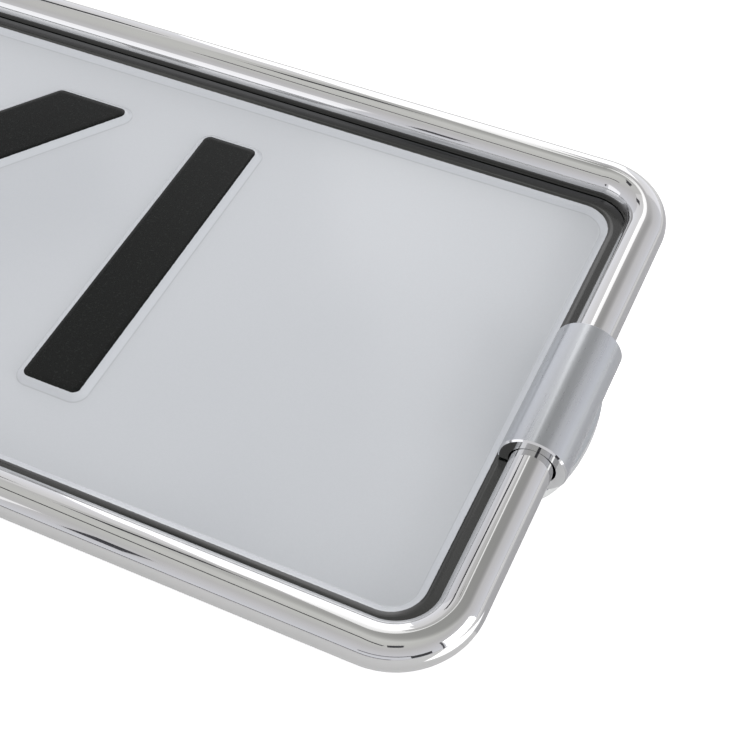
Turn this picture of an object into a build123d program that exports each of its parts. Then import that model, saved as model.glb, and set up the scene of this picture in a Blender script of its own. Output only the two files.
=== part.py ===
"""Number plate holder: a bent, grooved round bar in two halves, joined at both short sides by clamp sleeves.

Units are millimetres. X runs along the plate, Y up the plate and Z out of its face.
The origin is at the middle of the holder, on the plane of the feet's back faces.
"""

import math
import os

from build123d import *

# Number plate: a pressed sheet with a raised rim and raised marks.
plate_length = 520.0
plate_height = 110.0
plate_thickness = 1.0
plate_corner_radius = 10.0
rim_width = 5.0
rim_inner_radius = 6.5
emboss_depth = 1.2
flank_run = 1.4

# Plain raised marks on the plate: upright bars with a slanted bar between each two.
mark_height = 70.0
mark_corner_radius = 1.5
mark_shift_up = 2.4
upright_width = 12.0
upright_count = 4
upright_pitch = 117.2
slant_width = 18.0
slant_lean = 52.0

# Rails: the two halves of the frame, bent from grooved round bar.
rail_diameter = 8.0
rail_to_plate_edge = 1.7
rail_above_rim = 1.5
rail_end_chamfer = 0.5
rail_end_gap = 6.0
groove_side_clearance = 0.2
groove_end_clearance = 0.3

# Clamp sleeves over the joints between the rails.
sleeve_diameter = 12.6
sleeve_length = 29.0
sleeve_bore = 8.7
sleeve_chamfer = 0.3
sleeve_flat_cut = 0.5
sleeve_slot_clearance = 0.4
rail_seat_gap = 0.05

# Oval feet under the sleeves, with the threaded mounting holes.
foot_length = 33.0
foot_width = 12.6
foot_thickness = 2.5
foot_edge_chamfer = 0.4
mount_hole_radius = 2.1

# Countersunk clamp screws: they hold a foot to its sleeve, and their tips press on the rail ends.
screw_radius = 1.5
screw_head_radius = 2.8
screw_head_angle = 90.0
screw_offset = 8.0
screw_hole_clearance = 0.1
screw_head_sink = 0.15
screw_tip_gap = 0.05
screw_tip_chamfer = 0.3
socket_across_flats = 2.0
socket_depth = 1.2

# Heights and reaches that follow from the sizes above.
rail_radius = rail_diameter / 2
sleeve_radius = sleeve_diameter / 2
bore_radius = sleeve_bore / 2
sleeve_flat_z = foot_thickness
sleeve_axis_z = sleeve_flat_z + sleeve_radius - sleeve_flat_cut
rail_axis_z = sleeve_axis_z + bore_radius - rail_radius - rail_seat_gap
rim_top_z = rail_axis_z - rail_above_rim
sheet_mid_z = rim_top_z - plate_thickness / 2
rail_axis_x = plate_length / 2 + rail_to_plate_edge
rail_axis_y = plate_height / 2 + rail_to_plate_edge
rail_bend_radius = plate_corner_radius + rail_to_plate_edge
groove_width = plate_thickness + 2 * groove_side_clearance
groove_floor = rail_to_plate_edge - groove_end_clearance
flank_angle = math.degrees(math.atan2(flank_run, emboss_depth))
screw_tip_z = rail_axis_z - rail_radius - screw_tip_gap

os.makedirs("parts", exist_ok=True)


def finish(builder, name):
    """Labels a finished piece and writes it to its own file."""
    builder.part.label = name
    export_step(builder.part, f"parts/{name}.step")


def make_rail(side):
    """One half of the frame: a U of round bar with the plate's groove along its inner side."""
    end_y = side * rail_end_gap / 2
    far_y = side * rail_axis_y
    section_plane = Plane(
        origin=(-rail_axis_x, end_y, rail_axis_z), x_dir=(1, 0, 0), z_dir=(0, side, 0)
    )
    # The section's own Y axis points down on the upper rail and up on the lower one.
    groove_drop = side * (rail_axis_z - sheet_mid_z)
    groove_reach = rail_diameter
    with BuildPart() as rail:
        with BuildLine(Plane.XY.offset(rail_axis_z)):
            FilletPolyline(
                (-rail_axis_x, end_y),
                (-rail_axis_x, far_y),
                (rail_axis_x, far_y),
                (rail_axis_x, end_y),
                radius=rail_bend_radius,
            )
        with BuildSketch(section_plane):
            Circle(rail_radius)
            with Locations((groove_floor + groove_reach / 2, groove_drop)):
                Rectangle(groove_reach, groove_width, mode=Mode.SUBTRACT)
        sweep()
        end_faces = rail.faces().filter_by(Axis.Y).sort_by(Axis.Y, reverse=side < 0)[:2]
        round_edges = end_faces.edges().filter_by(GeomType.CIRCLE)
        chamfer(round_edges, rail_end_chamfer)
    return rail


def make_sleeve(side):
    """A clamp sleeve: bored for the rails, slit for the plate's edge and flattened for its foot."""
    slot_height = plate_thickness + 2 * sleeve_slot_clearance
    axis_plane = Plane(origin=(side * rail_axis_x, 0, sleeve_axis_z), x_dir=(1, 0, 0), z_dir=(0, -1, 0))
    with BuildPart() as sleeve:
        with BuildSketch(axis_plane):
            Circle(sleeve_radius)
        extrude(amount=sleeve_length / 2, both=True)
        chamfer(sleeve.edges().filter_by(GeomType.CIRCLE), sleeve_chamfer)
        with BuildSketch(axis_plane):
            Circle(bore_radius)
            with Locations((-side * sleeve_radius / 2, sheet_mid_z - sleeve_axis_z)):
                Rectangle(sleeve_radius, slot_height)
        extrude(amount=sleeve_length, both=True, mode=Mode.SUBTRACT)
        split(bisect_by=Plane.XY.offset(sleeve_flat_z), keep=Keep.TOP)
        with BuildSketch(Plane((side * rail_axis_x, 0, 0))):
            Circle(mount_hole_radius)
            with GridLocations(0, 2 * screw_offset, 1, 2):
                Circle(screw_radius + screw_hole_clearance)
        extrude(amount=sleeve_axis_z, mode=Mode.SUBTRACT)
    return sleeve


def make_foot(side):
    """An oval foot: a threaded hole in the middle and a countersunk screw hole on each side of it."""
    back_plane = Plane(origin=(side * rail_axis_x, 0, 0), x_dir=(1, 0, 0), z_dir=(0, 0, -1))
    with BuildPart() as foot:
        with BuildSketch(back_plane):
            Ellipse(foot_width / 2, foot_length / 2)
        extrude(amount=-foot_thickness)
        chamfer(foot.edges().group_by(Axis.Z)[0], foot_edge_chamfer)
        with Locations(back_plane):
            Hole(mount_hole_radius)
            with GridLocations(0, 2 * screw_offset, 1, 2):
                CounterSinkHole(
                    radius=screw_radius + screw_hole_clearance,
                    counter_sink_radius=screw_head_radius + screw_head_sink,
                    counter_sink_angle=screw_head_angle,
                )
    return foot


def make_clamp_screws():
    """The four countersunk screws, as one group of separate solids."""
    cone_height = (screw_head_radius - screw_radius) / math.tan(math.radians(screw_head_angle / 2))
    with BuildPart() as screw:
        with BuildSketch(Plane.XZ):
            with BuildLine():
                Polyline(
                    (0, screw_head_sink),
                    (screw_head_radius, screw_head_sink),
                    (screw_radius, screw_head_sink + cone_height),
                    (screw_radius, screw_tip_z - screw_tip_chamfer),
                    (screw_radius - screw_tip_chamfer, screw_tip_z),
                    (0, screw_tip_z),
                    close=True,
                )
            make_face()
        revolve(axis=Axis.Z)
        with BuildSketch(Plane.XY.offset(screw_head_sink)):
            RegularPolygon(socket_across_flats / 2, 6, major_radius=False)
        extrude(amount=socket_depth, mode=Mode.SUBTRACT)
    with BuildPart() as group:
        with GridLocations(2 * rail_axis_x, 2 * screw_offset, 2, 2):
            add(screw.part)
    return group


def sketch_marks():
    """Outlines of the raised marks' black tops, on the current sketch."""
    row_start = -upright_pitch * (upright_count - 1) / 2
    half_height = mark_height / 2
    half_slant = slant_width / 2
    half_lean = slant_lean / 2
    for place in range(upright_count):
        with Locations((row_start + place * upright_pitch, mark_shift_up)):
            Rectangle(upright_width, mark_height)
    for place in range(upright_count - 1):
        with Locations((row_start + (place + 0.5) * upright_pitch, mark_shift_up)):
            Polygon(
                (-half_lean - half_slant, -half_height),
                (-half_lean + half_slant, -half_height),
                (half_lean + half_slant, half_height),
                (half_lean - half_slant, half_height),
            )


def make_number_plate():
    """The pressed plate: its back is the same form as its front, one sheet thickness lower."""
    with BuildPart() as front:
        with BuildSketch(Plane.XY.offset(rim_top_z)):
            RectangleRounded(plate_length, plate_height, plate_corner_radius)
        extrude(amount=-(emboss_depth + 2 * plate_thickness))
        with BuildSketch(Plane.XY.offset(rim_top_z)):
            RectangleRounded(
                plate_length - 2 * rim_width, plate_height - 2 * rim_width, rim_inner_radius
            )
        extrude(amount=-emboss_depth, taper=flank_angle, mode=Mode.SUBTRACT)
        with BuildSketch(Plane.XY.offset(rim_top_z)) as marks:
            sketch_marks()
            fillet(marks.vertices(), mark_corner_radius)
        extrude(amount=-emboss_depth, taper=-flank_angle)
    with BuildPart() as plate:
        add(front.part)
        add(front.part.moved(Location((0, 0, -plate_thickness))), mode=Mode.SUBTRACT)
    return plate


finish(make_rail(1), "upper_rail")
finish(make_rail(-1), "lower_rail")
for side, hand in ((-1, "left"), (1, "right")):
    finish(make_sleeve(side), f"{hand}_sleeve")
    finish(make_foot(side), f"{hand}_foot")
finish(make_clamp_screws(), "clamp_screws")
finish(make_number_plate(), "number_plate")
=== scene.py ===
# %% [markdown]
# # A number plate holder, dressed for its photograph
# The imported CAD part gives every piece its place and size.
# This lesson gives the pieces their smooth surfaces and finishes,
# then sets the camera, the light and the floor.
# The part lies on its back: X runs along the plate, Y up the plate and Z out of its face.

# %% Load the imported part
import math

import bmesh
import bpy
from mathutils import Matrix, Vector


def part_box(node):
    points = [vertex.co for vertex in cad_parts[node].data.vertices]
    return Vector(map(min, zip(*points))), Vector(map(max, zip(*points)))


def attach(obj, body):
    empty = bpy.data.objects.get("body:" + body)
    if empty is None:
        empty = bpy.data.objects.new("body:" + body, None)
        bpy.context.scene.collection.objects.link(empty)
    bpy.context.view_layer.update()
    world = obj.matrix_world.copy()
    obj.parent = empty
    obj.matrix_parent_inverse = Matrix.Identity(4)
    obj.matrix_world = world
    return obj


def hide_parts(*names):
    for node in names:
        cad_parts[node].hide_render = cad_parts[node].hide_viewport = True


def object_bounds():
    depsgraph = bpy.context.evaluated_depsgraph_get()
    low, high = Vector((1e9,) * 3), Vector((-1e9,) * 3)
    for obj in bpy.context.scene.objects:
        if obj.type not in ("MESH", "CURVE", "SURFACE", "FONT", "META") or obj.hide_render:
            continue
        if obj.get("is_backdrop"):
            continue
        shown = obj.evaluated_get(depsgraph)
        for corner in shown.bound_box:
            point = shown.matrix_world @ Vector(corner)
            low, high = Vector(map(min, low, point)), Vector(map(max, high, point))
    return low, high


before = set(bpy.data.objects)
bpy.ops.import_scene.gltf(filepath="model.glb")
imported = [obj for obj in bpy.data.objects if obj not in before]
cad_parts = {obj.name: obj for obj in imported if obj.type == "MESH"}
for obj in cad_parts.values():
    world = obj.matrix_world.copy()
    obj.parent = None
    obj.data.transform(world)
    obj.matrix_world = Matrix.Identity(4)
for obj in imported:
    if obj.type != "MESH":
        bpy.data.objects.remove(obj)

cad_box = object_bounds()
mm = 0.001
print("pieces:", ", ".join(sorted(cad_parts)))

# %% [markdown]
# ## Sizes read from the part
# Most sizes can be read off the boxes of the CAD pieces, so a new size in the part carries over by itself.
# Only what a box can't tell, such as the groove or the slope of the pressing, is written here as a number.

# %% Sizes of the bar, the sleeves and the plate
rail_low, rail_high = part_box("upper_rail")
bar_radius = (rail_high.z - rail_low.z) / 2
bar_axis = Vector((rail_high.x - bar_radius, rail_high.y - bar_radius, rail_high.z - bar_radius))
bar_end = rail_low.y

sleeve_low, sleeve_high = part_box("right_sleeve")
sleeve_radius = sleeve_high.x - bar_axis.x
sleeve_axis_z = sleeve_high.z - sleeve_radius
sleeve_half = sleeve_high.y

plate_low, plate_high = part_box("number_plate")
plate_length = plate_high.x - plate_low.x
plate_height = plate_high.y - plate_low.y
rim_top = plate_high.z
sheet = 1.0 * mm
emboss = rim_top - plate_low.z - sheet
field_top = rim_top - emboss
print(f"bar {2 * bar_radius / mm:.1f} mm thick")
print(f"sleeve {2 * sleeve_radius / mm:.1f} mm thick and {2 * sleeve_half / mm:.1f} mm long")
print(f"plate {plate_length / mm:.0f} x {plate_height / mm:.0f} mm, pressed {emboss / mm:.1f} mm deep")

# %% [markdown]
# ## Camera
# The photograph was taken from close by, looking down on the right end of the holder.
# The camera is written as a photographer would note it: where it stood, what it was aimed at,
# the lens and a slight tilt.

# %% Stand, aim and tilt the camera
eye = Vector((299.75, -156.23, 212.66)) * mm
aim = Vector((227.32, -7.19, 7.1)) * mm
camera_tilt = math.radians(-1.26)
lens_mm = 70.33

forward = (aim - eye).normalized()
level = forward.cross(Vector((0, 0, 1))).normalized()
right = Matrix.Rotation(-camera_tilt, 3, forward) @ level
above = right.cross(forward)
camera_data = bpy.data.cameras.new("camera")
camera_data.lens = lens_mm
camera = bpy.data.objects.new("camera", camera_data)
camera.matrix_world = Matrix.Translation(eye) @ Matrix((right, above, -forward)).transposed().to_4x4()
scene = bpy.context.scene
scene.collection.objects.link(camera)
scene.camera = camera
scene.view_settings.view_transform = "Standard"
print(f"camera {(aim - eye).length / mm:.0f} mm from what it is aimed at")

# %% [markdown]
# ## Sums on sockets
# Node trees hold sums that read badly as a chain of nodes.
# A small class wraps one socket, so that plain Python sums add the Math nodes.
# Every other node comes from one method, which sets the node's settings first and then its sockets.

# %% A socket to reckon with
class Wire:
    """One output socket. A sum with it adds a Math node to its graph."""

    def __init__(self, graph, socket):
        self.graph = graph
        self.socket = socket

    def also(self, name):
        """Another output of the same node."""
        return Wire(self.graph, self.socket.node.outputs[name])

    def math(self, operation, *values):
        return self.graph.node("ShaderNodeMath", dict(enumerate(values)), operation=operation)

    def __add__(self, other):
        return self.math("ADD", self, other)

    def __radd__(self, other):
        return self.math("ADD", other, self)

    def __sub__(self, other):
        return self.math("SUBTRACT", self, other)

    def __rsub__(self, other):
        return self.math("SUBTRACT", other, self)

    def __mul__(self, other):
        return self.math("MULTIPLY", self, other)

    def __rmul__(self, other):
        return self.math("MULTIPLY", other, self)

    def __truediv__(self, other):
        return self.math("DIVIDE", self, other)

    def __rtruediv__(self, other):
        return self.math("DIVIDE", other, self)

    def __gt__(self, other):
        return self.math("GREATER_THAN", self, other)

    def __lt__(self, other):
        return self.math("LESS_THAN", self, other)

    def __abs__(self):
        return self.math("ABSOLUTE", self)

    def root(self):
        return self.math("SQRT", self)

    def sine(self):
        return self.math("SINE", self)

    def least(self, other):
        return self.math("MINIMUM", self, other)

    def most(self, other):
        return self.math("MAXIMUM", self, other)


print("sums on sockets are ready")

# %% A graph that adds nodes
class Graph:
    """A node tree that is filled by one method."""

    def __init__(self, tree):
        self.tree = tree

    def node(self, kind, sockets=None, out=0, **settings):
        """Adds a node: its settings first, then its sockets by name or number. Gives one output."""
        made = self.tree.nodes.new(kind)
        stops = settings.pop("stops", None)
        for name, value in settings.items():
            setattr(made, name, value)
        if stops:
            ramp = made.color_ramp
            while len(ramp.elements) < len(stops):
                ramp.elements.new(1.0)
            for element, (place, tone) in zip(ramp.elements, stops):
                element.position = place
                element.color = (*tone, 1.0)
        for name, value in (sockets or {}).items():
            self.feed(made.inputs[name], value)
        return Wire(self, made.outputs[out]) if made.outputs else None

    def feed(self, socket, value):
        """Links a wire to a socket, or writes a plain value on it."""
        if isinstance(value, Wire):
            self.tree.links.new(value.socket, socket)
        elif socket.type == "RGBA":
            socket.default_value = (*value, 1.0)
        else:
            socket.default_value = value

    def mix(self, share, first, second):
        """One colour that turns into another as share goes from 0 to 1."""
        # A Mix node has sockets for each kind of value. Its colours go in at 6 and 7 and come out at 2.
        return self.node("ShaderNodeMix", {0: share, 6: first, 7: second}, out=2, data_type="RGBA")

    def step(self, value, low, high):
        """0 below low, 1 above high, and a soft climb between them."""
        sockets = {"Value": value, "From Min": low, "From Max": high}
        return self.node("ShaderNodeMapRange", sockets, interpolation_type="SMOOTHSTEP")


print("graphs are ready")

# %% [markdown]
# ## Finishes
# Each finish is a small class of material: it starts from the piece's own coordinates, in metres.
# What changes over the surface goes to the shader as a wire,
# and what is the same all over is written on its socket.

# %% A finish starts from the place on the piece
class Finish(Graph):
    """A material with one principled shader."""

    def __init__(self, name):
        self.material = bpy.data.materials.new(name)
        self.material.use_nodes = True
        super().__init__(self.material.node_tree)
        self.shader = self.tree.nodes["Principled BSDF"]
        self.place = self.node("ShaderNodeTexCoord", out="Object")

    def noise(self, scale, detail=2.0, stretch=(1, 1, 1)):
        """Cloudy values from 0 to 1, stretched along an axis where that is asked for."""
        vector = self.node("ShaderNodeVectorMath", {0: self.place, 1: stretch}, operation="MULTIPLY")
        return self.node("ShaderNodeTexNoise", {"Vector": vector, "Scale": scale, "Detail": detail})

    def bump(self, height, depth):
        """Turns a height from 0 to 1 into a normal, depth metres deep."""
        return self.node("ShaderNodeBump", {"Height": height, "Distance": depth})

    def done(self, sockets):
        for name, value in sockets.items():
            self.feed(self.shader.inputs[name], value)
        print("finish:", self.material.name)
        return self.material


print("finishes are ready")

# %% [markdown]
# ## Polished bar
# The frame is round steel bar, buffed to a mirror.
# A mirror shows its surroundings, so the finish itself is nearly plain:
# steel reflects a bit over half of the light.
# Buffing leaves a faint haze and very shallow waves, which keep the reflections from looking like a drawing.

# %% Mirror-polished steel
def polished_steel():
    finish = Finish("polished steel")
    haze = finish.noise(scale=90.0, detail=4.0)
    waves = finish.noise(scale=45.0, detail=1.0)
    return finish.done({
        "Base Color": finish.mix(haze, (0.55, 0.555, 0.55), (0.60, 0.595, 0.60)),
        "Metallic": 1.0,
        "Roughness": 0.03 + 0.04 * haze,
        "Normal": finish.bump(waves, depth=0.02 * mm),
    })


bar_finish = polished_steel()

# %% [markdown]
# ## Drawn sleeve
# The sleeves are tube, drawn and then only lightly rubbed along their length, so they shine softly.
# Fine lines along Y come from noise that is stretched in that direction,
# and finer scuffs break up a thin clear sheen.
# Their ends are faced off bright, so the lines stop where the chamfer starts.

# %% Satin tube with bright ends
chamfer = 0.3 * mm
bright_blend = 0.02 * mm


def drawn_tube():
    finish = Finish("drawn tube")
    along = finish.node("ShaderNodeSeparateXYZ", {0: finish.place}, out="Y")
    shoulder = sleeve_half - chamfer
    bright = finish.step(abs(along), shoulder - bright_blend, shoulder + bright_blend)
    lines = finish.noise(scale=900.0, detail=3.0, stretch=(1, 0.03, 1))
    scuffs = finish.noise(scale=2600.0, detail=3.0, stretch=(1, 0.25, 1))
    drawn = finish.mix(lines, (0.38, 0.40, 0.425), (0.47, 0.485, 0.505))
    satin = 0.20 + 0.10 * lines + 0.08 * scuffs
    return finish.done({
        "Base Color": finish.mix(bright, drawn, (0.62, 0.625, 0.63)),
        "Metallic": 1.0,
        "Roughness": satin * (1 - bright) + 0.04 * bright,
        "Coat Weight": 0.5 + 0.5 * scuffs,
        "Coat Roughness": 0.08,
        "Coat IOR": 2.0,
        "Normal": finish.bump(lines * (1 - bright), depth=0.005 * mm),
    })


sleeve_finish = drawn_tube()

# %% [markdown]
# ## Turned feet and plain screws
# The feet are faced on a lathe, which leaves rings round the mounting hole.
# The distance from the hole's axis gives the rings, for both feet at once,
# because the feet lie mirrored about X = 0.
# The screws are bright steel with a little grain.

# %% Foot and screw finishes
ring_pitch = 0.25 * mm


def turned_foot():
    finish = Finish("turned foot")
    across = finish.node("ShaderNodeSeparateXYZ", {0: finish.place}, out="X")
    along = across.also("Y")
    off_axis = abs(across) - bar_axis.x
    turns = (off_axis * off_axis + along * along).root() / ring_pitch
    rings = (turns * math.tau).sine()
    cloud = finish.noise(scale=400.0, detail=3.0)
    return finish.done({
        "Base Color": finish.mix(cloud, (0.80, 0.81, 0.80), (0.88, 0.89, 0.88)),
        "Metallic": 1.0,
        "Roughness": 0.10 + 0.10 * cloud,
        "Normal": finish.bump(0.5 + 0.5 * rings, depth=0.004 * mm),
    })


def bright_screw():
    finish = Finish("bright screw")
    grain = finish.noise(scale=1500.0, detail=3.0)
    return finish.done({
        "Base Color": finish.mix(grain, (0.50, 0.50, 0.51), (0.60, 0.60, 0.61)),
        "Metallic": 1.0,
        "Roughness": 0.22 + 0.12 * grain,
    })


foot_finish = turned_foot()
screw_finish = bright_screw()

# %% [markdown]
# ## Coats of the plate
# The plate is aluminium sheet under a white film,
# pressed and then rolled with black on everything that stands proud.
# A painted picture could say where each coat lies, but height alone tells them apart:
# what is within a hair of the rim's top is black,
# and the film gets a thin darker line of painted shade at the foot of each flank, where the crease lies in
# shade.

# %% Black ink and white film
ink_reach = 0.19 * mm
ink_ragged = 0.05 * mm
ink_fade = 0.04 * mm
# Painted shade: where the darker line at the foot of each flank starts and ends above the field, and how dark
# it gets.
painted_foot_shade_starts = (0.002 * mm, 0.02 * mm)
painted_foot_shade_ends = (0.06 * mm, 0.14 * mm)
painted_foot_shade_share = 0.7


def inked(finish, height):
    """1 where the roller left black, with a slightly ragged edge."""
    ragged = finish.noise(scale=1800.0)
    edge = rim_top - (ink_reach + ink_ragged * ragged)
    return finish.step(height - edge, 0.0, ink_fade)


def black_ink(finish, grain):
    """Black with paler specks of grain."""
    specks = finish.step(grain, 0.55, 0.75)
    return finish.mix(specks, (0.005, 0.006, 0.0055), (0.016, 0.018, 0.017))


def white_film(finish, height, grain):
    """White with wide clouds, fine grain and a line of painted shade at the foot of each flank."""
    cloud = finish.noise(scale=25.0)
    film = finish.mix(0.5 * cloud + 0.5 * grain, (0.605, 0.631, 0.665), (0.658, 0.681, 0.714))
    lift = height - field_top
    # Painted shade in the crease at the foot of each flank.
    painted_foot_shade = finish.step(lift, *painted_foot_shade_starts) * (1 - finish.step(lift, *painted_foot_shade_ends))
    return finish.mix(painted_foot_shade_share * painted_foot_shade, film, (0.505, 0.525, 0.55))


print(f"black reaches {ink_reach / mm:.2f} mm down from the raised tops")

# %% [markdown]
# ## Coated plate
# The coats go on one sheet with one shader, so they meet without a seam.
# The back is bare rolled metal. An attribute on the mesh says which faces those are.
# The film and the ink on the rim are glossy, and the ink on the marks is duller.
# A zone along the plate's edge tells the two inks apart.

# %% White film, black raised faces, bare back
rim_zone = 7.5 * mm
rim_zone_blend = 0.5 * mm


def coated_sheet():
    finish = Finish("coated sheet")
    across = finish.node("ShaderNodeSeparateXYZ", {0: finish.place}, out="X")
    along, height = across.also("Y"), across.also("Z")
    back = finish.node("ShaderNodeAttribute", out="Fac", attribute_name="bare_back")
    black = inked(finish, height)
    past_edge = (abs(across) - plate_length / 2).most(abs(along) - plate_height / 2)
    rim = finish.step(past_edge, -rim_zone - rim_zone_blend, rim_zone_blend - rim_zone) * black
    peel = finish.noise(scale=700.0)
    grain = finish.noise(scale=2600.0)
    front = finish.mix(black, white_film(finish, height, grain), black_ink(finish, grain))
    rolled = finish.noise(scale=300.0, detail=3.0, stretch=(0.05, 1, 1))
    metal = finish.mix(rolled, (0.62, 0.63, 0.64), (0.72, 0.73, 0.74))
    return finish.done({
        "Base Color": finish.mix(back, front, metal),
        "Metallic": back,
        "Roughness": (0.22 + 0.06 * peel) * (1 - back) + (0.30 + 0.12 * rolled) * back,
        "Specular IOR Level": 0.18,
        "Coat Weight": (0.8 - 0.8 * black + rim) * (1 - back),
        "Coat Roughness": 0.15,
        "Coat IOR": 1.6,
        "Normal": finish.bump(peel + 0.6 * grain, depth=0.006 * mm),
    })


plate_finish = coated_sheet()

# %% [markdown]
# ## Trees that grow a piece
# A Geometry Nodes tree makes each main piece from a few named inputs.
# The tree is run on a host mesh, which holds the line that the piece follows, if it follows one.
# The result is kept as a plain mesh at the origin, so that it sits where its CAD piece sits.

# %% A tree with named inputs
class Recipe(Graph):
    """A Geometry Nodes tree with named inputs."""

    def __init__(self, name, **kinds):
        super().__init__(bpy.data.node_groups.new(name, "GeometryNodeTree"))
        sockets = self.tree.interface
        sockets.new_socket("Geometry", in_out="INPUT", socket_type="NodeSocketGeometry")
        for label, kind in {**kinds, "material": "Material"}.items():
            sockets.new_socket(label, in_out="INPUT", socket_type="NodeSocket" + kind)
        sockets.new_socket("Geometry", in_out="OUTPUT", socket_type="NodeSocketGeometry")
        self.start = self.node("NodeGroupInput")

    def given(self, label):
        return self.start.also(label)

    def outline(self, label):
        """The line that an input object holds."""
        held = self.node("GeometryNodeObjectInfo", {"Object": self.given(label)}, out="Geometry")
        return self.node("GeometryNodeMeshToCurve", {"Mesh": held})

    def row(self, thing, count, first, stride):
        """Copies of a thing in a straight row, from a first place and by a stride."""
        spots = self.node("GeometryNodeMeshLine", {
            "Count": count,
            "Start Location": self.node("ShaderNodeCombineXYZ", first),
            "Offset": self.node("ShaderNodeCombineXYZ", stride),
        })
        placed = self.node("GeometryNodeInstanceOnPoints", {"Points": spots, "Instance": thing})
        return self.node("GeometryNodeRealizeInstances", {"Geometry": placed})

    def join(self, *parts):
        joined = self.node("GeometryNodeJoinGeometry")
        for part in parts:
            self.feed(joined.socket.node.inputs[0], part)
        return joined

    def shade(self, mesh, crease):
        """Smooth shading, broken at edges sharper than crease."""
        smooth = self.node("GeometryNodeSetShadeSmooth", {"Geometry": mesh, "Shade Smooth": True})
        sharp = self.node("GeometryNodeInputMeshEdgeAngle") > crease
        sockets = {"Geometry": smooth, "Selection": sharp, "Shade Smooth": False}
        return self.node("GeometryNodeSetShadeSmooth", sockets, domain="EDGE")

    def end(self, geometry):
        """Ends the tree in a plain mesh with its material."""
        plain = self.node("GeometryNodeRealizeInstances", {"Geometry": geometry})
        coated = self.node("GeometryNodeSetMaterial", {"Geometry": plain, "Material": self.given("material")})
        self.node("NodeGroupOutput", {"Geometry": coated})
        print("tree:", self.tree.name, "of", len(self.tree.nodes), "nodes")
        return self


print("trees are ready")

# %% Run a tree, and settle what it grew
def line_mesh(name, points, closed=False):
    """A mesh of edges only, through the points in their order. A flat point lies at height 0."""
    mesh = bpy.data.meshes.new(name)
    edges = [(i, i + 1) for i in range(len(points) - 1)]
    if closed:
        edges.append((len(points) - 1, 0))
    mesh.from_pydata([(*point, 0.0)[:3] for point in points], edges, [])
    return mesh


def grow(name, recipe, host, **inputs):
    """Runs a tree on a host mesh and keeps the result as a plain mesh."""
    piece = bpy.data.objects.new(name, host)
    scene.collection.objects.link(piece)
    modifier = piece.modifiers.new("grow", "NODES")
    modifier.node_group = recipe.tree
    for item in recipe.tree.interface.items_tree:
        if item.in_out == "INPUT" and item.name in inputs:
            modifier[item.identifier] = inputs[item.name]
    grown = piece.evaluated_get(bpy.context.evaluated_depsgraph_get())
    mesh = bpy.data.meshes.new_from_object(grown)
    piece.modifiers.remove(modifier)
    piece.data = mesh
    return piece


def measure(mesh):
    """Volume in cubic millimetres, triangles, and the number of open edges of a mesh."""
    form = bmesh.new()
    form.from_mesh(mesh)
    volume = form.calc_volume(signed=True) / mm**3
    triangles = len(form.calc_loop_triangles())
    loose = sum(not edge.is_manifold for edge in form.edges)
    form.free()
    return f"{volume:.0f} mm3, {triangles} triangles, {loose} open edges"


def settle(piece, slot, *nodes):
    """The piece stands for its CAD nodes and rides on the part's one body. The slot is not used."""
    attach(piece, "root")
    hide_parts(*nodes)
    print(piece.name, measure(piece.data))


crease_angle = math.radians(30)
print(f"edges sharper than {math.degrees(crease_angle):.0f} degrees stay sharp")

# %% [markdown]
# ## Rails
# A rail is one bar, bent twice, with a groove along its inner side that the plate's edge slides into.
# It could be bent in a lattice or turned with a screw modifier, but a sweep is what a bender does:
# four corner points, each rounded to the bend's radius, and one section carried along them.
# The section's x points towards the plate and its y down, as a sweep to the right along the line has it.

# %% Section of the bar
groove_side_play = 0.2 * mm
groove_end_play = 0.3 * mm
groove_low = rim_top - sheet - groove_side_play
groove_high = rim_top + groove_side_play
plate_gap = bar_axis.x - plate_high.x
groove_floor = plate_gap - groove_end_play
bar_steps = 120


def arc(radius, first, last, steps):
    """Points round the origin, from one angle to another."""
    angles = [first + (last - first) * i / steps for i in range(steps + 1)]
    return [(radius * math.cos(angle), radius * math.sin(angle)) for angle in angles]


def bar_section():
    top = bar_axis.z - groove_high
    bottom = bar_axis.z - groove_low
    first, last = math.asin(bottom / bar_radius), math.tau + math.asin(top / bar_radius)
    return arc(bar_radius, first, last, bar_steps) + [(groove_floor, top), (groove_floor, bottom)]


bar_outline = bpy.data.objects.new("bar_outline", line_mesh("bar_outline", bar_section(), True))
print(f"bar section of {len(bar_outline.data.vertices)} points")

# %% The sweep along the bends
def sweep_recipe():
    tree = Recipe("bent bar", section="Object", bend="Float", steps="Int", crease="Float")
    line = tree.node("GeometryNodeMeshToCurve", {"Mesh": tree.given("Geometry")})
    bent = {"Curve": line, "Count": tree.given("steps"), "Radius": tree.given("bend")}
    path = tree.node("GeometryNodeFilletCurve", bent, mode="POLY")
    swept = {"Curve": path, "Profile Curve": tree.outline("section"), "Fill Caps": True}
    return tree.end(tree.shade(tree.node("GeometryNodeCurveToMesh", swept), tree.given("crease")))


bent_bar = sweep_recipe()

# %% Bend the two rails
plate_corner = 10.0 * mm
bend_radius = plate_corner + plate_gap
bend_steps = 64

for name, side in (("upper", 1), ("lower", -1)):
    x, y, z = bar_axis.x * side, bar_axis.y * side, bar_axis.z
    corners = [(-x, bar_end * side, z), (-x, y, z), (x, y, z), (x, bar_end * side, z)]
    rail = grow(
        f"{name}_bent_rail", bent_bar, line_mesh(f"{name}_line", corners),
        section=bar_outline, bend=bend_radius, steps=bend_steps, crease=crease_angle, material=bar_finish,
    )
    settle(rail, "polished_bar", f"{name}_rail")

# %% [markdown]
# ## Sleeves
# A sleeve is a length of tube with a slit for the plate's edge and a flat for its foot.
# Its section is swept along a short straight line, and the end points are then pulled in to a smaller radius:
# that is the turned chamfer, which catches the light as a thin ring.

# %% Section of the sleeve
bore_radius = 4.35 * mm
slit_play = 0.4 * mm
slit_low = rim_top - sheet - slit_play
slit_high = rim_top + slit_play
flat_reach = sleeve_axis_z - sleeve_low.z
sleeve_steps = 96
sleeve_lower_steps = 24


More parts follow.
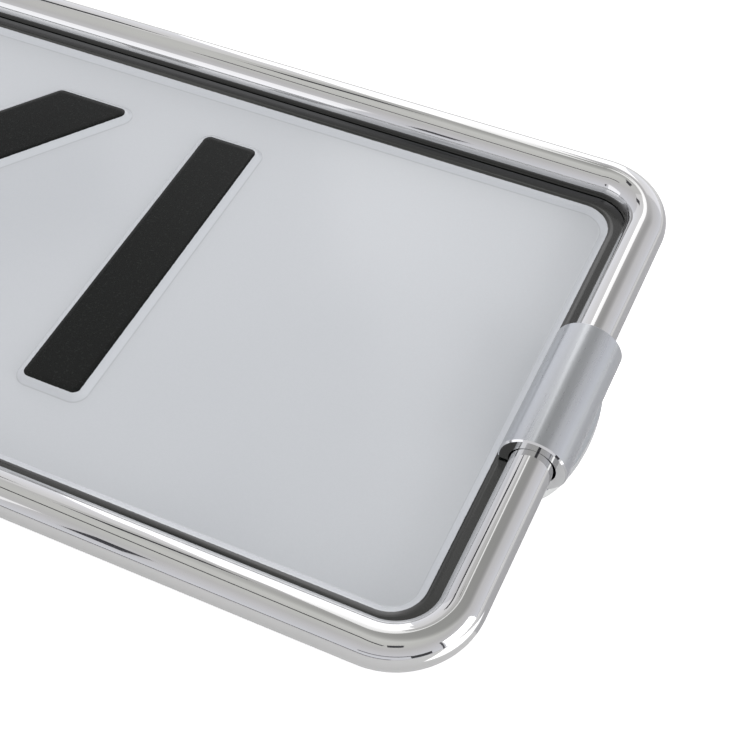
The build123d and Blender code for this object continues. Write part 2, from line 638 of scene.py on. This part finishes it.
def sleeve_section():
    top = sleeve_axis_z - slit_high
    bottom = sleeve_axis_z - slit_low
    flat = math.asin(flat_reach / sleeve_radius)
    lower = arc(sleeve_radius, math.asin(bottom / sleeve_radius), flat, sleeve_lower_steps)
    upper = arc(sleeve_radius, math.pi - flat, math.tau + math.asin(top / sleeve_radius), sleeve_steps)
    bore_first, bore_last = math.tau + math.asin(top / bore_radius), math.asin(bottom / bore_radius)
    return lower + upper + arc(bore_radius, bore_first, bore_last, sleeve_steps)


sleeve_outline = bpy.data.objects.new("sleeve_outline", line_mesh("sleeve_outline", sleeve_section(), True))
print(f"sleeve section of {len(sleeve_outline.data.vertices)} points")

# %% [markdown]
# ## Turned and drilled
# In the flat that sits on its foot, each sleeve has a hole for the mounting screw,
# and one on each side of it for the clamp screws.
# The drills are cylinders in a row, from the floor up to the sleeve's axis,
# and a boolean takes them out of the tube.
# It leaves uneven faces round the holes, but those lie out of sight, on the flat and in the bore.

# %% The tree of a sleeve
drill_sides = 64


def turned_ends(tree, tube):
    """Pulls the points at both ends in to a smaller radius."""
    axis_x, axis_z = tree.given("axis_x"), tree.given("axis_z")
    across = tree.node("ShaderNodeSeparateXYZ", {0: tree.node("GeometryNodeInputPosition")}, out="X")
    along, up = across.also("Y"), across.also("Z")
    off_x, off_z = across - axis_x, up - axis_z
    shrink = (tree.given("end_radius") / (off_x * off_x + off_z * off_z).root()).least(1.0)
    pulled = {"X": axis_x + off_x * shrink, "Y": along, "Z": axis_z + off_z * shrink}
    return tree.node("GeometryNodeSetPosition", {
        "Geometry": tube,
        "Selection": abs(along) > tree.given("half"),
        "Position": tree.node("ShaderNodeCombineXYZ", pulled),
    })


def drills(tree, radius, count, offset):
    """Drills in a row along Y, the first of them offset from the middle."""
    axis_x, axis_z = tree.given("axis_x"), tree.given("axis_z")
    sizes = {"Vertices": drill_sides, "Radius": tree.given(radius), "Depth": axis_z}
    drill = tree.node("GeometryNodeMeshCylinder", sizes)
    return tree.row(drill, count, {"X": axis_x, "Y": -1 * offset, "Z": axis_z * 0.5}, {"Y": 2 * offset})


def tube_recipe():
    ends = ("axis_x", "axis_z", "half", "end_radius")
    holes = ("mount_hole", "screw_hole", "screw_offset")
    floats = {label: "Float" for label in (*ends, *holes, "crease")}
    tree = Recipe("faced tube", section="Object", **floats)
    line = tree.node("GeometryNodeMeshToCurve", {"Mesh": tree.given("Geometry")})
    swept = {"Curve": line, "Profile Curve": tree.outline("section"), "Fill Caps": True}
    faced = turned_ends(tree, tree.node("GeometryNodeCurveToMesh", swept))
    one, two = drills(tree, "mount_hole", 1, 0.0), drills(tree, "screw_hole", 2, tree.given("screw_offset"))
    cut = {"Mesh 1": faced, "Mesh 2": tree.join(one, two)}
    drilled = tree.node("GeometryNodeMeshBoolean", cut, operation="DIFFERENCE", solver="EXACT")
    return tree.end(tree.shade(drilled, tree.given("crease")))


faced_tube = tube_recipe()

# %% Cut the two sleeves
sleeve_sizes = {
    "axis_z": sleeve_axis_z,
    "half": sleeve_half - chamfer / 2,
    "end_radius": sleeve_radius - chamfer,
    "mount_hole": 2.1 * mm,
    "screw_hole": 1.6 * mm,
    "screw_offset": 8.0 * mm,
}
stations = (sleeve_half, sleeve_half - chamfer, chamfer - sleeve_half, -sleeve_half)

for name, side in (("left", -1), ("right", 1)):
    axis = line_mesh(f"{name}_axis", [(side * bar_axis.x, side * y, sleeve_axis_z) for y in stations])
    sleeve = grow(
        f"{name}_clamp_sleeve", faced_tube, axis,
        section=sleeve_outline, axis_x=side * bar_axis.x, **sleeve_sizes,
        crease=crease_angle, material=sleeve_finish,
    )
    settle(sleeve, "drawn_sleeve", f"{name}_sleeve")

# %% [markdown]
# ## Number plate
# The plate is pressed sheet: a rim and a row of plain bars stand proud of the field, with sloping flanks.
# A dense grid pushed up by a height map would need a million faces to keep the edges crisp.
# Instead each outline is rounded at its corners and carries one flank profile,
# and the flat fields fill the loops between them.

# %% The flank's profile
flank_run = 1.4 * mm
crease_radius = 3.0 * mm
crease_steps = 10
foot_radius = 0.6 * mm
foot_steps = 7


def flank_profile():
    """From the raised top down to the field: a soft crease, a slope and a soft crease. y points down."""
    slope = math.atan2(emboss, flank_run)
    start = -crease_radius * math.tan(slope / 2)
    foot = flank_run + foot_radius * math.tan(slope / 2)
    upper = arc(crease_radius, -math.pi / 2, slope - math.pi / 2, crease_steps)
    lower = arc(foot_radius, math.pi / 2 + slope, math.pi / 2, foot_steps)
    upper = [(start + x, crease_radius + y) for x, y in upper]
    lower = [(foot + x, emboss - foot_radius + y) for x, y in lower]
    return upper + lower


flank = bpy.data.objects.new("flank", line_mesh("flank", flank_profile()))
print("flank of", len(flank.data.vertices), "points")

# %% Outlines of the raised tops
rim_corner_steps = 32
mark_corner_steps = 16


def rounded(tree, curve, radius, steps):
    sockets = {"Curve": curve, "Count": steps, "Radius": tree.given(radius)}
    return tree.node("GeometryNodeFilletCurve", sockets, mode="POLY")


def plate_outlines(tree):
    """The sheet's edge, and the inner line of the rim, which runs the other way round."""
    length, height, rim = tree.given("length"), tree.given("height"), tree.given("rim")
    quad = "GeometryNodeCurvePrimitiveQuadrilateral"
    edge = tree.node(quad, {"Width": length, "Height": height})
    window = tree.node(quad, {"Width": length - 2 * rim, "Height": height - 2 * rim})
    inner = rounded(tree, window, "rim_corner", rim_corner_steps)
    edge = rounded(tree, edge, "corner", rim_corner_steps)
    return edge, tree.node("GeometryNodeReverseCurve", {"Curve": inner})


def mark_outlines(tree):
    """Upright bars in a row, and a slanted bar between each two."""
    count, pitch, tall = tree.given("count"), tree.given("pitch"), tree.given("tall")
    quad = "GeometryNodeCurvePrimitiveQuadrilateral"
    upright = tree.node(quad, {"Width": tree.given("upright"), "Height": tall})
    leaning = {"Width": tree.given("slant"), "Height": tall, "Offset": tree.given("lean")}
    slant = tree.node(quad, leaning, mode="PARALLELOGRAM")
    start = pitch * (1 - count) * 0.5
    rows = []
    for bar, many, first in ((upright, count, start), (slant, count - 1, start + pitch * 0.5)):
        bar = rounded(tree, bar, "mark_corner", mark_corner_steps)
        rows.append(tree.row(bar, many, {"X": first, "Y": tree.given("mark_up")}, {"X": pitch}))
    return rows


print("outlines are ready")

# %% [markdown]
# ## From outlines to a sheet
# The flanks are swept along the outlines.
# Their open edges are the loops that bound the flat tops and the field.
# The same skin, moved down by the sheet's thickness, is the back, as in real pressed sheet.
# Flat fields are shaded flat, so that the creases don't bend their light.

# %% Front skin and back of the pressing
weld = 0.002 * mm
level_enough = 0.99999


def lifted(tree, geometry, z):
    shift = tree.node("ShaderNodeCombineXYZ", {"Z": z})
    return tree.node("GeometryNodeTransform", {"Geometry": geometry, "Translation": shift})


def welded(tree, *parts):
    return tree.node("GeometryNodeMergeByDistance", {"Geometry": tree.join(*parts), "Distance": weld})


def front_skin(tree, edge, outlines):
    """Flanks along the outlines, and flat fields between their loops."""
    top, depth = tree.given("top"), tree.given("depth")
    swept = {"Curve": lifted(tree, outlines, top), "Profile Curve": tree.outline("flank")}
    flanks = tree.node("GeometryNodeCurveToMesh", swept)
    height = tree.node("ShaderNodeSeparateXYZ", {0: tree.node("GeometryNodeInputPosition")}, out="Z")
    open_edge = tree.node("GeometryNodeInputMeshEdgeNeighbors") < 1.5
    upper_half = height > top - depth * 0.5
    upper, lower = (
        tree.node("GeometryNodeMeshToCurve", {"Mesh": flanks, "Selection": open_edge * half})
        for half in (upper_half, 1 - upper_half)
    )
    tops = lifted(tree, tree.node("GeometryNodeFillCurve", {"Curve": tree.join(edge, upper)}), top)
    field = lifted(tree, tree.node("GeometryNodeFillCurve", {"Curve": lower}), top - depth)
    return welded(tree, flanks, tops, field)


def with_back(tree, skin):
    """The skin, the same skin one sheet thickness lower, and the cut edge between them."""
    down = tree.node("ShaderNodeCombineXYZ", {"Z": -1 * tree.given("sheet")})
    sunk = {"Mesh": skin, "Offset": down, "Offset Scale": 1.0, "Individual": False}
    turned = tree.node("GeometryNodeFlipFaces", {"Mesh": tree.node("GeometryNodeExtrudeMesh", sunk)})
    bare = {"Geometry": turned, "Name": "bare_back", "Value": 1.0}
    return welded(tree, skin, tree.node("GeometryNodeStoreNamedAttribute", bare, domain="FACE"))


def flat_fields(tree, mesh):
    """Flat shading on every face that lies level."""
    normal_z = tree.node("ShaderNodeSeparateXYZ", {0: tree.node("GeometryNodeInputNormal")}, out="Z")
    flat = {"Geometry": mesh, "Selection": abs(normal_z) > level_enough, "Shade Smooth": False}
    return tree.node("GeometryNodeSetShadeSmooth", flat)


print(f"seams closer than {weld / mm:.3f} mm are welded")

# %% The tree that presses the plate
def pressing_recipe():
    plate_lengths = ("length", "height", "corner", "rim", "rim_corner", "top", "depth", "sheet")
    mark_lengths = ("upright", "slant", "lean", "pitch", "tall", "mark_corner", "mark_up")
    floats = {label: "Float" for label in (*plate_lengths, *mark_lengths, "crease")}
    tree = Recipe("pressed plate", flank="Object", count="Int", **floats)
    edge, rim = plate_outlines(tree)
    skin = front_skin(tree, edge, tree.join(rim, *mark_outlines(tree)))
    shaded = tree.shade(with_back(tree, skin), tree.given("crease"))
    return tree.end(flat_fields(tree, shaded))


pressed_plate = pressing_recipe()

# %% Press the plate
rim_sizes = {"rim": 5.0 * mm, "rim_corner": 6.5 * mm}
mark_sizes = {
    "upright": 12.0 * mm,
    "slant": 18.0 * mm,
    "lean": 52.0 * mm,
    "pitch": 117.2 * mm,
    "tall": 70.0 * mm,
    "mark_corner": 1.5 * mm,
    "mark_up": 2.4 * mm,
}
upright_count = 4

plate = grow(
    "pressed_plate", pressed_plate, bpy.data.meshes.new("plate_host"),
    flank=flank, count=upright_count, length=plate_length, height=plate_height, corner=plate_corner,
    **rim_sizes, **mark_sizes,
    top=rim_top, depth=emboss, sheet=sheet, crease=crease_angle, material=plate_finish,
)
settle(plate, "coated_plate", "number_plate")

# %% [markdown]
# ## Feet and screws
# The feet and the clamp screws are small and mostly out of sight,
# and their CAD solids already have the right form.
# A CAD mesh is loose triangles, so a copy is merged and shaded smoothly, with breaks at its real edges.

# %% Smooth copies of the feet and the screws
loose_gap = 0.001 * mm


def smooth_copy(node, name, finish):
    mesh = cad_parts[node].data.copy()
    form = bmesh.new()
    form.from_mesh(mesh)
    bmesh.ops.remove_doubles(form, verts=form.verts, dist=loose_gap)
    for face in form.faces:
        face.smooth = True
    for edge in form.edges:
        edge.smooth = edge.calc_face_angle(math.pi) < crease_angle
    form.to_mesh(mesh)
    form.free()
    mesh.materials.clear()
    mesh.materials.append(finish)
    piece = bpy.data.objects.new(name, mesh)
    scene.collection.objects.link(piece)
    return piece


for name in ("left", "right"):
    settle(smooth_copy(f"{name}_foot", f"{name}_oval_foot", foot_finish), "turned_foot", f"{name}_foot")
settle(smooth_copy("clamp_screws", "four_clamp_screws", screw_finish), "screw_steel", "clamp_screws")

# %% [markdown]
# ## Floor
# The holder lies on a plain white floor.
# The floor is matt and takes the holder's shadow.
# A little added glow, for the camera and for reflections, lifts it to paper white without lighting the holder.

# %% Paper-white finish of the floor
camera_glow = 0.7
mirrored_glow = 0.15


def floor_paper():
    paper = bpy.data.materials.new("white floor")
    paper.use_nodes = True
    graph = Graph(paper.node_tree)
    graph.tree.nodes.clear()
    place = graph.node("ShaderNodeTexCoord", out="Object")
    cloud = graph.node("ShaderNodeTexNoise", {"Vector": place, "Scale": 6.0})
    white = graph.mix(cloud, (0.86, 0.86, 0.86), (0.88, 0.88, 0.88))
    matt = graph.node("ShaderNodeBsdfDiffuse", {"Color": white})
    seen = graph.node("ShaderNodeLightPath", out="Is Camera Ray")
    mirrored = seen.also("Is Glossy Ray") + seen.also("Is Transmission Ray")
    glow = graph.node("ShaderNodeEmission", {"Strength": camera_glow * seen + mirrored_glow * mirrored})
    graph.node("ShaderNodeOutputMaterial", {"Surface": graph.node("ShaderNodeAddShader", {0: matt, 1: glow})})
    return paper


floor_finish = floor_paper()
print("finish:", floor_finish.name)

# %% A white floor that keeps the shadow
floor_reach = 6.0
floor_gap = 0.02 * mm


def flat_mesh(name, wide, tall, finish):
    """A flat four-cornered face with its finish."""
    mesh = bpy.data.meshes.new(name)
    x, y = wide / 2, tall / 2
    mesh.from_pydata([(-x, -y, 0), (x, -y, 0), (x, y, 0), (-x, y, 0)], [], [(0, 1, 2, 3)])
    mesh.materials.append(finish)
    return mesh


floor = bpy.data.objects.new("floor", flat_mesh("floor", 2 * floor_reach, 2 * floor_reach, floor_finish))
floor.location.z = cad_box[0].z - floor_gap
scene.collection.objects.link(floor)
floor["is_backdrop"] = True
print("floor at", round(floor.location.z / mm, 2), "mm")

# %% [markdown]
# ## Room
# A mirror is lit by what stands round it, so the whole room counts.
# It is pale grey: a little lighter and cooler near the horizon than overhead.
# One part high up is darker, which gives the right rail and the sleeve their soft dark bands.

# %% A pale room with a darker part
room_tones = [
    (0.49, (0.80, 0.80, 0.83)),
    (0.53, (1.00, 1.01, 1.07)),
    (0.62, (0.94, 0.94, 0.99)),
    (0.72, (0.90, 0.89, 0.92)),
    (0.86, (0.80, 0.79, 0.79)),
    (0.95, (0.86, 0.86, 0.83)),
    (1.0, (0.92, 0.92, 0.89)),
]
dark_way = (0.126, 0.387, 0.914)
dark_reach = math.radians(32)
dark_core = math.radians(12)
dark_share = 0.44


def pale_room():
    world = bpy.data.worlds.new("pale room")
    world.use_nodes = True
    graph = Graph(world.node_tree)
    way = graph.node("ShaderNodeTexCoord", out="Generated")
    up = graph.node("ShaderNodeSeparateXYZ", {0: way}, out="Z")
    room = graph.node("ShaderNodeValToRGB", {"Fac": up * 0.5 + 0.5}, stops=room_tones)
    aligned = graph.node("ShaderNodeVectorMath", {0: way, 1: dark_way}, out="Value", operation="DOT_PRODUCT")
    dark = graph.step(aligned, math.cos(dark_reach), math.cos(dark_core))
    tone = graph.mix(dark_share * dark, room, (0.0, 0.0, 0.0))
    graph.feed(graph.tree.nodes["Background"].inputs["Color"], tone)
    return world


scene.world = pale_room()
print("room:", scene.world.name)

# %% [markdown]
# ## Light
# The lamps are soft panels, placed where the polished bar shows bright bands.
# A point lamp would only make a hard spot in the polish, while a panel shows there as a band with clean edges.

# %% Soft panels
def facing(centre, towards, roll=0):
    """Stands a flat thing at a place, with its face towards another place, rolled by some degrees."""
    turn = (Vector(towards) - Vector(centre)).to_track_quat("-Z", "Y").to_matrix().to_4x4()
    return Matrix.Translation(centre) @ turn @ Matrix.Rotation(math.radians(roll), 4, "Z")


def soft_panel(name, centre, towards, wide, tall, roll, brightness):
    """A square-edged lamp. Brightness is how bright its face looks, where 1 is white."""
    lamp = bpy.data.lights.new(name, "AREA")
    lamp.shape = "RECTANGLE"
    lamp.size = wide
    lamp.size_y = tall
    lamp.energy = brightness * math.pi * wide * tall
    panel = bpy.data.objects.new(name, lamp)
    panel.matrix_world = facing(centre, towards, roll)
    panel.visible_camera = False
    scene.collection.objects.link(panel)


# Each panel's centre, the place it faces, its width, its height, its roll and its brightness.
panels = {
    "far panel": ((0.075, 0.50, 0.165), (0.075, 0.0, 0.165), 0.29, 0.33, 0, 0.85),
    "far right panel": ((0.325, 0.52, 0.05), (0.325, 0.0, 0.05), 0.66, 0.30, 49, 0.3),
    "far upper panel": ((0.04, 0.50, 0.46), (0.04, 0.0, 0.46), 0.17, 0.26, 0, 0.9),
    "far top panel": ((0.032, 0.50, 0.80), (0.032, 0.0, 0.80), 0.08, 0.42, 0, 0.8),
    "right panel": ((0.66, -0.05, 0.125), (0.26, -0.05, 0.125), 0.26, 0.23, 0, 3.6),
    "low right panel": ((0.34, -0.068, 0.001), (0.34, -0.068, 1.0), 0.13, 0.034, 15, 1.3),
    "front panel": ((-0.10, -0.20, 0.085), (-0.10, 0.0, 0.085), 0.40, 0.13, 0, 0.6),
    "left panel": ((-0.19, 0.517, 0.315), (0.26, 0.0, 0.01), 0.35, 0.64, 0, 0.22),
}
for name, setting in panels.items():
    soft_panel(name, *setting)
print(len(panels), "panels")

# %% [markdown]
# ## Cards
# Bright panels alone make a bar look like plain grey paint.
# Photographers set up dark cards out of the picture:
# each shows in the polish as a thin line and gives it depth.
# One pale shadow card lies on the floor by the right rail as a painted shadow: it stands for the holder's
# shade on the floor beside the rail, as the rail's polish shows it. It shows only in reflections and casts no
# shadow.

# %% Dark cards round the holder, and a painted-shadow card on the floor
def card_finish(name, low, high):
    finish = Finish(name)
    felt = finish.noise(scale=60.0, detail=3.0)
    return finish.done({"Base Color": finish.mix(felt, low, high), "Roughness": 0.9})


def set_card(name, centre, wide, tall, towards, finish):
    card = bpy.data.objects.new(name.replace(" ", "_"), flat_mesh(name, wide, tall, finish))
    card.matrix_world = facing(centre, towards)
    card.visible_camera = False
    scene.collection.objects.link(card)
    card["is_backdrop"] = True
    return card


dark_card = card_finish("dark card", (0.06, 0.06, 0.065), (0.09, 0.09, 0.10))
pale_shadow_card = card_finish("pale card", (0.71, 0.71, 0.73), (0.75, 0.75, 0.77))
focus = (0.235, 0.0, 0.01)
# Each dark card's centre, its width and its height. They all face the right end of the holder.
cards = {
    "front card": ((0.129, -0.22, 0.10), 0.02, 0.05),
    "front bar card": ((0.379, -0.566, 0.151), 0.50, 0.025),
    "front right card": ((0.66, -0.414, 0.085), 0.19, 0.11),
    "front edge card": ((0.10, -0.62, 0.012), 0.80, 0.024),
    "camera card": ((0.305, -0.167, 0.228), 0.05, 0.04),
    "overhead card": ((0.10, -0.21, 0.50), 0.45, 0.03),
    "far overhead card": ((0.00, 0.195, 0.50), 0.12, 0.05),
    "left card": ((-0.117, 0.28, 0.353), 0.10, 0.06),
    "window bar card": ((0.60, -0.18, 0.10), 0.012, 0.24),
}
for name, (centre, wide, tall) in cards.items():
    set_card(name, centre, wide, tall, focus, dark_card)

# Painted shadow: this grey card lies where the floor beside the right rail is in the holder's shade, and only
# the rail's polish shows it.
floor_shadow_card = set_card("floor card", (0.284, 0.022, 0.0005), 0.034, 0.134, (0.284, 0.022, 1.0), pale_shadow_card)
floor_shadow_card.visible_shadow = False
floor_shadow_card.visible_diffuse = False
print(len(cards), "dark cards and a pale one")

# %% [markdown]
# ## Boxes
# Both boxes, the CAD model's and the dressed model's, are worked out and their sizes printed.
# The dressed model must stay in the CAD model's box.

# %% Keep the two boxes and finish
boxes = {"cad": [list(corner) for corner in cad_box], "visual": [list(corner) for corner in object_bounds()]}
for label, (low, high) in boxes.items():
    print(label, [round((b - a) / mm, 2) for a, b in zip(low, high)])
